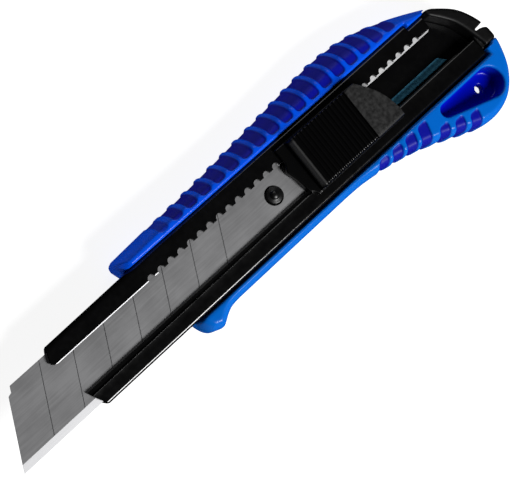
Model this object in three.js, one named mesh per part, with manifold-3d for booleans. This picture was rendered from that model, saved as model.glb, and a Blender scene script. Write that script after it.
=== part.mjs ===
// Snap-off utility knife, 18 mm blade, ribbed moulded grip with an automatic blade lock.
// Millimetres, +Z up, lying on its back. X runs from the blade tip to the tail, Y from the
// cutting edge to the blade's back. Shapes are drawn with the blade tip at x = 0, the cutting
// edge at y = 0 and the blade's upper face at z = 0, and the group is moved at the end.
import * as THREE from 'three';
import * as BufferGeometryUtils from 'three/addons/utils/BufferGeometryUtils.js';
import Module from 'manifold-3d';

const wasm = await Module();
wasm.setup();

// ---- driving dimensions ----
const GAP = 0.3;

const BLADE_LENGTH = 101.4;
const BLADE_WIDTH = 18;
const BLADE_THICK = 0.5;
const BEVEL_WIDTH = 1.9;
const SNAP_ANGLE = THREE.MathUtils.degToRad(60);
const SEGMENT_PITCH = 10;
const SCORE_COUNT = 7;
const SCORE_WIDTH = 0.22;
const SCORE_DEPTH = 0.12;
const PIN_X = 94.0;
const PIN_Y = 9.2;
const BLADE_HOLE_R = 2.55;

const SHEET = 0.8;
const RAIL_TOP = 1.2;
const RAIL_BOTTOM = -3.2;
const RAIL_Y0 = -1.3;
const RAIL_Y1 = 19.5;
const RAIL_CORNER_R = 0.9;
const RAIL_END_X = 168.2;
const LOWER_LIP_Y = 4.0;
const LOWER_LIP_FRONT_Y = 3.4;
const UPPER_LIP_Y = 14.3;
const UPPER_LIP_END_X = 160;
const NOTCH_COUNT = 30;
const NOTCH_PITCH = 3.427;
const NOTCH_FIRST_X = 54.7;
const NOTCH_R = 0.8;
const TAB_X = 154.2;
const TAB_Y = 18.4;

const GRIP_TOP = 2.4;
const GRIP_BOTTOM = -10.6;
const GRIP_ROUND_XY = 2.2;
const GRIP_ROUND_Z = 4.2;
const CHANNEL_Z = RAIL_BOTTOM - GAP;
const STRIP_TOP = 0.6;
const FLUTE_PITCH = 5;
const FLUTE_DEPTH = 0.8;
const UPPER_FLUTES = 18;
const UPPER_FLUTE_X = 65.2;
const UPPER_FLUTE_Y = 21.4;
const LOWER_FLUTES = 7;
const LOWER_FLUTE_PITCH = 4.75;
const LOWER_FLUTE_X = 123.6;
const FLUTE_WIDTH = 3.2;
const WEB_TOP = -2.8;
const WEB_BOTTOM = -5.4;
const LANYARD = { x: 161.5, y: -7.2, r: 1.2 };

const TONGUE_ROOM = { x0: 146, x1: 172, y0: 3.5, y1: 15.5, z0: -8.6, z1: -4.6 };
const TONGUE_PLAY = 0.5;
const SNAP_SLOT = { x0: 169.9, y0: 4.75, y1: 6.05 };

const STRIP_Y0 = 4.75;
const STRIP_Y1 = 7;
const STRIP_THICK = 0.3;
const STRIP_LIFT = 0.05;

const CARRIER = { x0: 87, x1: 132.5, y0: 0, y1: 18.3, z0: -1.7, z1: -0.9, corner: 1.5 };
const CORE = { x0: 103, y0: 4.4, y1: 10.4 };
const POST_Y1 = 14;
const FRONT_POST_X1 = 105.2;
const REAR_POST_X0 = 130.8;
const PIN_HEAD_R = 2.3;
const PIN_STEM_R = 1.3;
const PIN_SHOULDER_Z = 0.45;
const PIN_DOME = 0.85;

const SLIDER_Y0 = 1.9;
const SLIDER_Y1 = 17.5;
const SLIDER_X0 = 104;
const SLIDER_X1 = 135.8;
const PAD_X = 125.1;
const FLANGE_BOTTOM = RAIL_TOP + GAP;
const FLANGE_TOP = 2.4;
const DISH_MIDDLE_X = 115.5;
const DISH_LOW_Z = 4.55;
const RIB_START_X = SLIDER_X0 + 1.8;
const RIB_COUNT = 14;
const RIB_PITCH = 1.36;
const RIB_HEIGHT = 0.55;

const LEAF = { x0: 105.6, x1: 130.4, y: 13.2, thick: 0.45, bow: 0.95, z0: -0.5, z1: 1.1 };
const TOOTH_NOTCH = 18;
const TOOTH_Y = 15.05;
const TOOTH_BOTTOM = 0.45;

// ---- helpers ----
const p = (x, y) => new THREE.Vector2(x, y);

function shapeOf(points) {
  return new THREE.Shape(points);
}

// A closed geometry becomes a solid that can be joined and cut.
function solid(geometry) {
  const bare = geometry.index ? geometry.clone() : BufferGeometryUtils.mergeVertices(geometry);
  bare.deleteAttribute('normal');
  bare.deleteAttribute('uv');
  const merged = BufferGeometryUtils.mergeVertices(bare, 1e-4);
  const mesh = new wasm.Mesh({
    numProp: 3,
    vertProperties: new Float32Array(merged.attributes.position.array),
    triVerts: new Uint32Array(merged.index.array),
  });
  return new wasm.Manifold(mesh);
}

function geometryOf(body) {
  const mesh = body.getMesh();
  const geometry = new THREE.BufferGeometry();
  geometry.setAttribute('position', new THREE.BufferAttribute(new Float32Array(mesh.vertProperties), 3));
  geometry.setIndex(new THREE.BufferAttribute(new Uint32Array(mesh.triVerts), 1));
  return geometry;
}

// A plan outline raised from z0 to z1.
function slab(points, z0, z1, curveSegments = 6) {
  const shape = points instanceof THREE.Shape ? points : shapeOf(points);
  const geometry = new THREE.ExtrudeGeometry(shape, { depth: z1 - z0, bevelEnabled: false, curveSegments });
  return solid(geometry.translate(0, 0, z0));
}

function block(x0, x1, y0, y1, z0, z1) {
  const geometry = new THREE.BoxGeometry(x1 - x0, y1 - y0, z1 - z0);
  return solid(geometry.translate((x0 + x1) / 2, (y0 + y1) / 2, (z0 + z1) / 2));
}

// A section drawn in (y, z) and swept along x.
function sweptAlongX(shape, x0, x1, curveSegments = 4) {
  const geometry = new THREE.ExtrudeGeometry(shape, { depth: x1 - x0, bevelEnabled: false, curveSegments });
  const turn = new THREE.Matrix4().makeBasis(
    new THREE.Vector3(0, 1, 0),
    new THREE.Vector3(0, 0, 1),
    new THREE.Vector3(1, 0, 0),
  );
  return solid(geometry.applyMatrix4(turn).translate(x0, 0, 0));
}

// A side profile drawn in (x, z) and swept from y0 to y1.
function sweptAlongY(points, y0, y1) {
  const geometry = new THREE.ExtrudeGeometry(shapeOf(points), { depth: y1 - y0, bevelEnabled: false });
  return solid(geometry.rotateX(Math.PI / 2).translate(0, y1, 0));
}

function round(x, y, r, z0, z1, segments = 24) {
  const geometry = new THREE.CylinderGeometry(r, r, z1 - z0, segments);
  return solid(geometry.rotateX(Math.PI / 2).translate(x, y, (z0 + z1) / 2));
}

function mesh(name, body, color, roughness, metalness) {
  const material = new THREE.MeshStandardMaterial({ color, roughness, metalness });
  const part = new THREE.Mesh(geometryOf(body), material);
  part.name = name;
  return part;
}

// ---- grip ----
const LOWER_EDGE = [
  p(110, -4.45), p(117.3, -4.8), p(127.4, -6.4), p(137.6, -9), p(147.8, -12.9),
];
const TAIL_EDGE = [
  p(147.8, -12.9), p(154, -15.3), p(160.5, -15.6), p(166.3, -13.5), p(171, -8.8), p(173.7, -3),
  p(174.6, 2.2), p(173.6, 8), p(170.2, 14.1), p(163.7, 19.3),
];
const UPPER_EDGE = [
  p(163.7, 19.3), p(152.8, 24.4), p(142.6, 27.9), p(130.5, 29.1), p(118.3, 28.4), p(98, 26.7),
  p(77.7, 25.3), p(51.3, 24),
];
const GUARD_EDGE = [
  p(56.3, -1.2), p(57.5, -4.6), p(59.2, -6.65), p(61, -7.05), p(62.6, -6.8), p(64.4, -5.8),
  p(66.8, -4.75), p(70, -4.45),
];
const FRONT_CORNER = p(49.7, 21.9);

// The whole plan outline of grip and end cap together, counter-clockwise.
function gripOutline() {
  const curve = (points, count) => new THREE.SplineCurve(points).getPoints(count).slice(1);
  return [
    ...GUARD_EDGE,
    ...LOWER_EDGE.slice(0, 1),
    ...curve(LOWER_EDGE, 8),
    ...curve(TAIL_EDGE, 26),
    ...curve(UPPER_EDGE, 26),
    FRONT_CORNER,
  ];
}

function outerBody() {
  const geometry = new THREE.ExtrudeGeometry(shapeOf(gripOutline()), {
    depth: GRIP_TOP - GRIP_BOTTOM - 2 * GRIP_ROUND_Z,
    bevelEnabled: true,
    bevelThickness: GRIP_ROUND_Z,
    bevelSize: GRIP_ROUND_XY,
    bevelOffset: -GRIP_ROUND_XY,
    bevelSegments: 4,
  });
  return solid(geometry.translate(0, 0, GRIP_BOTTOM + GRIP_ROUND_Z));
}

// Height of an edge at x, found on its sampled spline.
function edgeAt(points, x) {
  const samples = new THREE.SplineCurve(points).getPoints(60).sort((a, b) => a.x - b.x);
  const next = samples.findIndex((s) => s.x >= x);
  const b = samples[Math.max(next, 1)];
  const a = samples[Math.max(next, 1) - 1];
  return THREE.MathUtils.mapLinear(x, a.x, b.x, a.y, b.y);
}

// One finger flute: it starts on the face at yInner, and runs over the rounded edge to the back.
function flute(x, yInner, yEdge) {
  const side = Math.sign(yEdge - yInner);
  const floorY = yEdge - side * FLUTE_DEPTH;
  const floorTop = GRIP_TOP - FLUTE_DEPTH;
  const floorBottom = GRIP_BOTTOM + FLUTE_DEPTH;
  const reach = Math.abs(floorY - yInner) * 0.8;
  const shape = new THREE.Shape();
  shape.moveTo(yInner, GRIP_TOP + 2);
  shape.lineTo(yEdge + side * 2, GRIP_TOP + 2);
  shape.lineTo(yEdge + side * 2, GRIP_BOTTOM - 2);
  shape.lineTo(yInner, GRIP_BOTTOM - 2);
  shape.lineTo(yInner, floorBottom);
  shape.bezierCurveTo(
    yInner + side * reach, floorBottom,
    floorY, floorBottom + GRIP_ROUND_Z * 0.5,
    floorY, floorBottom + GRIP_ROUND_Z,
  );
  shape.lineTo(floorY, floorTop - GRIP_ROUND_Z);
  shape.bezierCurveTo(
    floorY, floorTop - GRIP_ROUND_Z * 0.5,
    yInner + side * reach, floorTop,
    yInner, floorTop,
  );
  return sweptAlongX(shape, x - FLUTE_WIDTH / 2, x + FLUTE_WIDTH / 2, 5);
}

// Inner edge of the end cap, a shallow arc from the back of the grip to its tail.
function capLine(offset) {
  return new THREE.SplineCurve([
    p(169.6 + offset, 0.6), p(168.9 + offset, 4), p(166.6 + offset, 11), p(161.8 + offset, 17.2),
  ]).getPoints(8);
}

function capZone(offset) {
  return [
    ...capLine(offset),
    p(161.3 + offset, 18.9 - offset),
    p(185, 18.9 - offset),
    p(185, 0.6 + offset),
  ];
}

// Teardrop: the outline round two circles whose upper sides are level.
function teardrop() {
  const small = { x: 147.1, y: -5.1, r: 1.95 };
  const large = { x: 162.7, y: -7.5, r: 4.35 };
  const lean = Math.atan2(large.y - small.y, large.x - small.x);
  const open = Math.acos((small.r - large.r) / Math.hypot(large.x - small.x, large.y - small.y));
  const upper = lean + open;
  const lower = lean - open;
  const shape = new THREE.Shape();
  shape.absarc(small.x, small.y, small.r, upper, lower + 2 * Math.PI, false);
  shape.absarc(large.x, large.y, large.r, lower, upper, false);
  return shape;
}

function gripBody() {
  let body = outerBody();
  for (let i = 0; i < UPPER_FLUTES; i += 1) {
    const x = UPPER_FLUTE_X + i * FLUTE_PITCH;
    body = body.subtract(flute(x, UPPER_FLUTE_Y, edgeAt(UPPER_EDGE, x)));
  }
  for (let i = 0; i < LOWER_FLUTES; i += 1) {
    const x = LOWER_FLUTE_X + i * LOWER_FLUTE_PITCH;
    const yEdge = edgeAt(x < LOWER_EDGE[4].x ? LOWER_EDGE : TAIL_EDGE.slice(0, 3), x);
    const yInner = i < 4 ? -3.3 : -7.6 - (i - 4) * 1.5;
    body = body.subtract(flute(x, yInner, yEdge));
  }
  body = body.subtract(slab(capZone(-GAP), GRIP_BOTTOM - 2, GRIP_TOP + 2));
  const channelY0 = RAIL_Y0 - 0.35;
  const above = GRIP_TOP + 5;
  body = body.subtract(block(30, TAB_X, channelY0, RAIL_Y1 + GAP, CHANNEL_Z, above));
  body = body.subtract(block(TAB_X - 1, RAIL_END_X + 0.4, channelY0, TAB_Y + GAP, CHANNEL_Z, above));
  body = body.subtract(block(50, 124, -20, RAIL_Y0, STRIP_TOP, above));
  body = body.subtract(slab(teardrop(), WEB_TOP, above, 10));
  body = body.subtract(slab(teardrop(), GRIP_BOTTOM - 5, WEB_BOTTOM, 10));
  body = body.subtract(round(LANYARD.x, LANYARD.y, LANYARD.r, WEB_BOTTOM - 3, WEB_TOP + 3));
  const room = TONGUE_ROOM;
  return body.subtract(block(room.x0, room.x1, room.y0, room.y1, room.z0, room.z1));
}

// ---- end cap ----
// The cap's skin sits a little below the grip's, and its tongue plugs into the grip.
function endCap() {
  const slot = block(SNAP_SLOT.x0, 185, SNAP_SLOT.y0, SNAP_SLOT.y1, GRIP_BOTTOM - 2, GRIP_TOP + 2);
  const rim = outerBody().intersect(slab(capZone(0), GRIP_BOTTOM + GAP, GRIP_TOP - GAP)).subtract(slot);
  const room = TONGUE_ROOM;
  const play = TONGUE_PLAY;
  const tongue = block(
    room.x0 + 4 * play, room.x1, room.y0 + play, room.y1 - play, room.z0 + play, room.z1 - play,
  );
  const window = block(150, 160, 6.5, 12.5, room.z0 - 1, room.z1 + 1);
  return rim.add(tongue.subtract(slot).subtract(window));
}

// ---- guide rail ----
function railSection() {
  const r = RAIL_CORNER_R;
  const shape = new THREE.Shape();
  shape.moveTo(LOWER_LIP_Y, RAIL_TOP);
  shape.absarc(RAIL_Y0 + r, RAIL_TOP - r, r, Math.PI / 2, Math.PI, false);
  shape.absarc(RAIL_Y0 + r, RAIL_BOTTOM + r, r, Math.PI, 1.5 * Math.PI, false);
  shape.absarc(RAIL_Y1 - r, RAIL_BOTTOM + r, r, 1.5 * Math.PI, 2 * Math.PI, false);
  shape.absarc(RAIL_Y1 - r, RAIL_TOP - r, r, 0, Math.PI / 2, false);
  shape.lineTo(UPPER_LIP_Y, RAIL_TOP);
  shape.lineTo(UPPER_LIP_Y, RAIL_TOP - SHEET);
  shape.lineTo(RAIL_Y1 - SHEET, RAIL_TOP - SHEET);
  shape.lineTo(RAIL_Y1 - SHEET, RAIL_BOTTOM + SHEET);
  shape.lineTo(RAIL_Y0 + SHEET, RAIL_BOTTOM + SHEET);
  shape.lineTo(RAIL_Y0 + SHEET, RAIL_TOP - SHEET);
  shape.lineTo(LOWER_LIP_Y, RAIL_TOP - SHEET);
  return shape;
}

function notch(x) {
  const shape = new THREE.Shape();
  shape.moveTo(x + 1.15, UPPER_LIP_Y - 0.4);
  shape.lineTo(x + 1.0, UPPER_LIP_Y + 0.05);
  shape.absarc(x, UPPER_LIP_Y + 0.35, NOTCH_R, 0.1 * Math.PI, 0.9 * Math.PI, false);
  shape.lineTo(x - 1.0, UPPER_LIP_Y + 0.05);
  shape.lineTo(x - 1.15, UPPER_LIP_Y - 0.4);
  return slab(shape, RAIL_TOP - SHEET - 0.5, RAIL_TOP + 0.5, 4);
}

function guideRail() {
  let body = sweptAlongX(railSection(), 20, RAIL_END_X);
  const front = [
    p(10, 25), p(10, -5), p(26.6, -5), p(26.2, -1.3), p(25.1, 0.5), p(24.2, 3.4), p(23.4, 9),
    p(22.9, 14.2), p(21.8, 15.7), p(23.5, 19.3), p(23.8, 25),
  ];
  const lipTail = [
    p(UPPER_LIP_END_X - 1.4, 12), p(UPPER_LIP_END_X - 1.4, UPPER_LIP_Y),
    p(UPPER_LIP_END_X - 0.4, UPPER_LIP_Y + 0.5), p(UPPER_LIP_END_X, UPPER_LIP_Y + 1.6),
    p(UPPER_LIP_END_X, 25), p(175, 25), p(175, 12),
  ];
  const lowerTail = [
    p(175, 6), p(RAIL_END_X - 1, 6), p(RAIL_END_X - 1, LOWER_LIP_Y), p(RAIL_END_X - 0.3, LOWER_LIP_Y - 0.3),
    p(RAIL_END_X, LOWER_LIP_Y - 1), p(RAIL_END_X + 0.1, -4), p(175, -4),
  ];
  const underCap = [...capLine(-1), p(150, 30), p(185, 30), p(185, 0.6)];
  const below = RAIL_BOTTOM - 1;
  const above = RAIL_TOP + 1;
  const underLip = RAIL_TOP - SHEET - 0.1;
  body = body.subtract(slab(front, below, above));
  body = body.subtract(slab(lipTail, -1, above));
  body = body.subtract(slab(lowerTail, -1, above));
  body = body.subtract(slab(underCap, below, above));
  body = body.subtract(block(TAB_X, 185, TAB_Y, 25, below, above));
  body = body.subtract(block(20, 112, LOWER_LIP_FRONT_Y, LOWER_LIP_Y + 1, underLip, above));
  for (let i = 0; i < NOTCH_COUNT; i += 1) {
    body = body.subtract(notch(NOTCH_FIRST_X + i * NOTCH_PITCH));
  }
  return body;
}

// A thin spring-steel strip on the channel floor that takes up the carrier's play.
function floorStrip() {
  const outline = [p(40, STRIP_Y0), p(159.5, STRIP_Y0), p(157.3, STRIP_Y1), p(40, STRIP_Y1)];
  const bottom = RAIL_BOTTOM + SHEET + STRIP_LIFT;
  return slab(outline, bottom, bottom + STRIP_THICK);
}

// ---- blade ----
function blade() {
  const run = 1 / Math.tan(SNAP_ANGLE);
  const step = { y: 16.3, x: 0.9 };
  const outline = [
    p(0, 0), p(BLADE_LENGTH, 0), p(BLADE_LENGTH, BLADE_WIDTH), p(BLADE_WIDTH * run + step.x, BLADE_WIDTH),
    p(step.y * run + step.x, step.y + 0.2), p(step.y * run, step.y),
  ];
  let body = slab(outline, -BLADE_THICK, 0);
  const edgeZ = -BLADE_THICK / 2;
  const beyond = -0.6;
  const ground = (z) => [
    p(beyond, edgeZ), p(BEVEL_WIDTH, z), p(BEVEL_WIDTH, z * 2 - edgeZ), p(beyond, z * 2 - edgeZ),
  ];
  body = body.subtract(sweptAlongX(shapeOf(ground(0)), -5, BLADE_LENGTH + 5));
  body = body.subtract(sweptAlongX(shapeOf(ground(-BLADE_THICK).reverse()), -5, BLADE_LENGTH + 5));
  const half = SCORE_WIDTH / 2;
  const across = BLADE_WIDTH + 1;
  for (let i = 1; i <= SCORE_COUNT; i += 1) {
    const x = i * SEGMENT_PITCH;
    const line = [
      p(x - half, 0), p(x + half, 0), p(x + half + across * run, across), p(x - half + across * run, across),
    ];
    body = body.subtract(slab(line, -SCORE_DEPTH, 1));
  }
  return body.subtract(round(PIN_X, PIN_Y, BLADE_HOLE_R, -2, 2));
}

// ---- slide: carrier, pin, thumb slider and lock spring ----
function bladeCarrier() {
  const { x0, x1, y0, y1, z0, z1, corner } = CARRIER;
  const plate = slab([
    p(x0, y0 + corner), p(x0 + corner, y0), p(x1, y0), p(x1, y1), p(x0 + corner, y1), p(x0, y1 - corner),
  ], z0, z1);
  const root = z1 - 0.1;
  const core = block(CORE.x0, x1, CORE.y0, CORE.y1, root, RAIL_TOP);
  const frontPost = block(CORE.x0, FRONT_POST_X1, CORE.y1 - 0.1, POST_Y1, root, RAIL_TOP);
  const rearPost = block(REAR_POST_X0, x1, CORE.y1 - 0.1, POST_Y1, root, RAIL_TOP);
  const pinHole = round(PIN_X, PIN_Y, PIN_STEM_R + 0.1, z0 - 1, 0);
  return plate.add(core).add(frontPost).add(rearPost).subtract(pinHole);
}

function bladePin() {
  const profile = [
    p(0, CARRIER.z0), p(PIN_STEM_R - 0.2, CARRIER.z0), p(PIN_STEM_R, CARRIER.z0 + 0.2),
    p(PIN_STEM_R, CARRIER.z1 + 0.1), p(PIN_HEAD_R, CARRIER.z1 + 0.1), p(PIN_HEAD_R, PIN_SHOULDER_Z),
  ];
  const steps = 5;
  for (let i = 1; i < steps; i += 1) {
    const angle = (i / steps) * (Math.PI / 2);
    profile.push(p(PIN_HEAD_R * Math.cos(angle), PIN_SHOULDER_Z + PIN_DOME * Math.sin(angle)));
  }
  profile.push(p(0, PIN_SHOULDER_Z + PIN_DOME));
  const geometry = new THREE.LatheGeometry(profile, 28);
  return solid(geometry.rotateX(Math.PI / 2).translate(PIN_X, PIN_Y, 0));
}

// Side profile of the thumb slider: bevelled front, dished ribs, raised plain pad at the rear.
function sliderProfile() {
  const dish = (x) => DISH_LOW_Z + 0.55 * ((x - DISH_MIDDLE_X) / 10) ** 2;
  const root = FLANGE_TOP - 0.4;
  const points = [p(SLIDER_X0, root), p(SLIDER_X0 + 0.3, 3.6), p(SLIDER_X0 + 1.2, 5.5)];
  for (let i = 0; i < RIB_COUNT; i += 1) {
    const x = RIB_START_X + i * RIB_PITCH;
    points.push(p(x, dish(x)));
    points.push(p(x + RIB_PITCH * 0.25, dish(x) + RIB_HEIGHT));
    points.push(p(x + RIB_PITCH * 0.65, dish(x) + RIB_HEIGHT));
    points.push(p(x + RIB_PITCH * 0.9, dish(x)));
  }
  points.push(p(PAD_X - 0.1, dish(PAD_X)), p(PAD_X, 5.9), p(130, 5.6), p(SLIDER_X1 - 0.8, 4.6));
  points.push(p(SLIDER_X1, 3.9), p(SLIDER_X1, root));
  return points.reverse();
}

// The rounded rear of the thumb slider, from its lower to its upper side.
function sliderRear(grow) {
  return new THREE.SplineCurve([
    p(SLIDER_X1 - 0.1 + grow, SLIDER_Y0 - grow), p(134.6 + grow, 8), p(132.6 + grow, 12.5),
    p(128.9 + grow, SLIDER_Y1 + grow),
  ]).getPoints(8);
}

// The flange rides on both lips, and a nose under it runs between them to the blade's end.
function thumbSlider() {
  const buttonPlan = [p(SLIDER_X0, SLIDER_Y0), ...sliderRear(0), p(SLIDER_X0 + 0.6, SLIDER_Y1)];
  const button = sweptAlongY(sliderProfile(), SLIDER_Y0, SLIDER_Y1).intersect(slab(buttonPlan, 0, 10));
  const flangePlan = [
    p(100.4, 4.4), p(100.9, 3.6), p(102.2, 2.8), p(103.1, SLIDER_Y0 - 0.4), ...sliderRear(0.4),
    p(101, SLIDER_Y1 + 0.4), p(100.6, 14.5),
  ];
  const flange = slab(flangePlan, FLANGE_BOTTOM, FLANGE_TOP);
  const nose = new THREE.Shape();
  nose.moveTo(104.5, 13.9);
  nose.lineTo(100.6, 13.9);
  nose.quadraticCurveTo(98, 11.2, 100.1, 8);
  nose.lineTo(100.4, 4.4);
  nose.lineTo(104.5, 4.4);
  const carrierRoom = block(CORE.x0 - 0.4, 110, 0, 20, 0, FLANGE_BOTTOM);
  return button.add(flange).add(slab(nose, GAP, FLANGE_TOP).subtract(carrierRoom));
}

// A bowed leaf between the carrier's posts. Its tooth is only as tall as the upper lip, and rests
// in one notch of the rack.
function lockSpring() {
  const toothX = NOTCH_FIRST_X + TOOTH_NOTCH * NOTCH_PITCH;
  const { x0, x1, y, thick, bow, z0, z1 } = LEAF;
  const inner = [
    p(x1, y - bow), p(x1 - 11, y), p(toothX + 0.7, y + 0.05), p(toothX, y + 1), p(toothX - 0.7, y + 0.05),
    p(x0 + 7.8, y), p(x0, y - bow),
  ];
  const outer = [
    p(x0, y - bow + thick), p(x0 + 7.8, y + thick), p(toothX - 1.1, y + thick + 0.1),
    p(toothX - 0.35, TOOTH_Y), p(toothX + 0.35, TOOTH_Y), p(toothX + 1.1, y + thick + 0.1),
    p(x1 - 11, y + thick), p(x1, y - bow + thick),
  ];
  const underTooth = block(toothX - 2, toothX + 2, y + thick + 0.15, TOOTH_Y + 1, z0 - 1, TOOTH_BOTTOM);
  return slab([...outer, ...inner], z0, z1).subtract(underTooth);
}

// ---- assembly ----
const knife = new THREE.Group();
knife.add(
  mesh('grip_body', gripBody(), 0x0a4fb4, 0.35, 0),
  mesh('end_cap', endCap(), 0x1c1c1e, 0.5, 0),
  mesh('guide_rail', guideRail(), 0x0b0b0c, 0.25, 0.3),
  mesh('floor_strip', floorStrip(), 0x13283a, 0.35, 0.9),
  mesh('blade', blade(), 0x8a8a8c, 0.3, 1),
  mesh('blade_carrier', bladeCarrier(), 0x121214, 0.5, 0),
  mesh('blade_pin', bladePin(), 0x101012, 0.25, 0.6),
  mesh('thumb_slider', thumbSlider(), 0x151517, 0.4, 0),
  mesh('lock_spring', lockSpring(), 0x9a9a9c, 0.3, 1),
);

// The origin goes under the middle of the whole knife.
const extent = new THREE.Box3().setFromObject(knife);
const middle = extent.getCenter(new THREE.Vector3());
knife.position.set(-middle.x, -middle.y, -extent.min.z);
knife.updateMatrixWorld(true);

export default knife;
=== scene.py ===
import math
import bmesh
import bpy
import numpy as np
from mathutils import Matrix, Vector


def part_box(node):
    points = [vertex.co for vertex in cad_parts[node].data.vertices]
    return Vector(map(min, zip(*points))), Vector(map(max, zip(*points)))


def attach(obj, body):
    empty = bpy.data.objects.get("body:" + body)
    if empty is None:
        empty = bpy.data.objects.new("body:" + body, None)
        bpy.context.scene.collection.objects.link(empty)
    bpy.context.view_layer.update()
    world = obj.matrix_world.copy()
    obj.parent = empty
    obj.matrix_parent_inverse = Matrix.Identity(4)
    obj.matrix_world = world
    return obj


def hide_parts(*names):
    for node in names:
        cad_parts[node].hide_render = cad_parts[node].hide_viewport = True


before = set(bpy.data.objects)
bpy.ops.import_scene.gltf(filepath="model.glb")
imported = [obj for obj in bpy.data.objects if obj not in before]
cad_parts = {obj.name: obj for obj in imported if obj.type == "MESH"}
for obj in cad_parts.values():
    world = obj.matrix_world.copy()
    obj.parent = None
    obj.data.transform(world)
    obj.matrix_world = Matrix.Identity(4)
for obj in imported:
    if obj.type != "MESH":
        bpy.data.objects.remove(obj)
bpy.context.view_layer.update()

# Snap-off utility knife. Shapes are drawn in millimetres from the blade tip: x towards the tail,
# y from the cutting edge to the blade's back, z up from the blade's upper face.
MM = 0.001
blade_low, blade_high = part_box("blade")
TIP = Vector((blade_low.x, blade_low.y, blade_high.z))

# ---- sizes shared by the pieces ----
BLADE_LENGTH = 101.4
BLADE_WIDTH = 18.0
BLADE_THICK = 0.5
BEVEL_WIDTH = 1.9
SNAP_RUN = 1 / math.tan(math.radians(60))
SCORE_COUNT = 7
SCORE_PITCH = 10.0
SCORE_HALF = 0.2
SCORE_DEPTH = 0.16
PIN = (94.0, 9.2)
PIN_RADIUS = 2.3
BLADE_HOLE = 2.7

RAIL_TOP = 1.2
SHEET = 0.8
RAIL_BOTTOM = -3.2
RAIL_Y = (-1.3, 19.5)
RAIL_END = 168.2
UPPER_LIP_Y = 14.3
UPPER_LIP_END = 160.0
NOTCH_FIRST = 54.7
NOTCH_PITCH = 3.427
NOTCH_COUNT = 30
NOTCH_HALF = 1.12
NOTCH_DEPTH = 1.15
TAB_X = 154.2
TAB_Y = 18.4

GRIP_TOP = 2.4
GRIP_BOTTOM = -10.6
STRIP_TOP = 0.6
CHANNEL_FLOOR = -3.5
CHANNEL_Y = (-1.95, 20.0)
FLUTE_PITCH = 5.0
FLUTE_FIRST = 65.2
FLUTE_COUNT = 18
FLUTE_INNER_Y = 21.1
FLUTE_DEPTH = 0.5
LOW_FLUTE_DEPTH = 0.45
POCKET_CORNER = 1.1
LOW_FLUTE_PITCH = 4.8
LOW_FLUTE_FIRST = 124.1
LOW_FLUTE_LEAN = 0.34
LOW_FLUTE_COUNT = 7
LANYARD = (161.5, -7.2, 1.2)
RECESS_SMALL = (147.1, -5.1, 1.95)
RECESS_LARGE = (162.7, -7.5, 4.35)
WEB_BOTTOM = -5.4
CHANNEL_END = 171
CAP_TOP_Y = 18.9
BEYOND_TAIL = 190
TONGUE = ((148, 4, -8.1), (171, 15, -5.1))
TONGUE_ROOM = ((146, 3.5, -8.6), (172, 15.5, -4.6))
TONGUE_WINDOW = ((150, 6.5, -20), (160, 12.5, 20))
CAP_LEDGE = ((168.45, 0.4, RAIL_BOTTOM + SHEET + 0.2), (170.5, 5.0, 1.0))

RIB_COUNT = 14
RIB_PITCH = 1.36
RIB_START = 105.8
RIB_HEIGHT = 0.42
SLIDER_LEAN = 0.043
SLIDER_Y = (1.9, 17.4)
SLIDER_MIDDLE = 9.5
PAD_START = 125.1
BUTTON_FOOT = 1.9
BUTTON_REAR_SHIFT = 0.45
FLANGE_REAR_SHIFT = 0.4
FLANGE_MIDDLE = 1.95
FLANGE_HALF = 0.45
FLANGE_TOP = 2.4
NOSE_BOTTOM = 0.3

# ---- colours, linear ----
# Grip blue as a painted shading tint: greener on the lower side that faces the light, deep navy on the
# shaded upper flank.
BLUE_LIT_SIDE = (0.0008, 0.10, 0.45)
BLUE_SHADED_SIDE = (0.0008, 0.06, 0.62)
# Painted shade: darker navy for the flutes and the teardrop recess, where shade falls.
FLUTE_SHADE_BLUE = (0.0002, 0.002, 0.23)
RECESS_SHADE_BLUE = (0.0002, 0.003, 0.34)
DEEP_BLACK = (0.0015, 0.0015, 0.0016)
CARRIER_BLACK = (0.003, 0.003, 0.003)


# ---- fields: negative inside a shape, in millimetres ----
def smooth_max(a, b, r):
    """The larger of two fields, with the edge between them rounded by about r."""
    h = np.clip(0.5 + 0.5 * (a - b) / r, 0, 1)
    return b + (a - b) * h + r * h * (1 - h)


def smooth_min(a, b, r):
    return -smooth_max(-a, -b, r)


def step_between(low, high, value):
    """0 before low, 1 after high, smooth between. low may be the larger one."""
    t = np.clip((value - low) / (high - low), 0, 1)
    return t * t * (3 - 2 * t)


def box_field(x, y, z, low, high):
    """How far a point is outside the nearest wall of a box."""
    d = np.maximum(low[0] - x, x - high[0])
    d = np.maximum(d, np.maximum(low[1] - y, y - high[1]))
    return np.maximum(d, np.maximum(low[2] - z, z - high[2]))


def outline_field(points, x, y):
    """Signed distance to a closed outline."""
    pts = np.asarray(points, float)
    nearest = np.full(np.broadcast(x, y).shape, 1e9)
    inside = np.zeros(nearest.shape, bool)
    for a, b in zip(pts, np.roll(pts, -1, axis=0)):
        e = b - a
        length2 = max(float(e @ e), 1e-12)
        t = np.clip(((x - a[0]) * e[0] + (y - a[1]) * e[1]) / length2, 0, 1)
        nearest = np.minimum(nearest, (x - a[0] - t * e[0]) ** 2 + (y - a[1] - t * e[1]) ** 2)
        if a[1] != b[1]:
            rises = (a[1] <= y) != (b[1] <= y)
            inside ^= rises & (x < a[0] + (y - a[1]) * e[0] / e[1])
    return np.where(inside, -1, 1) * np.sqrt(nearest)


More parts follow.
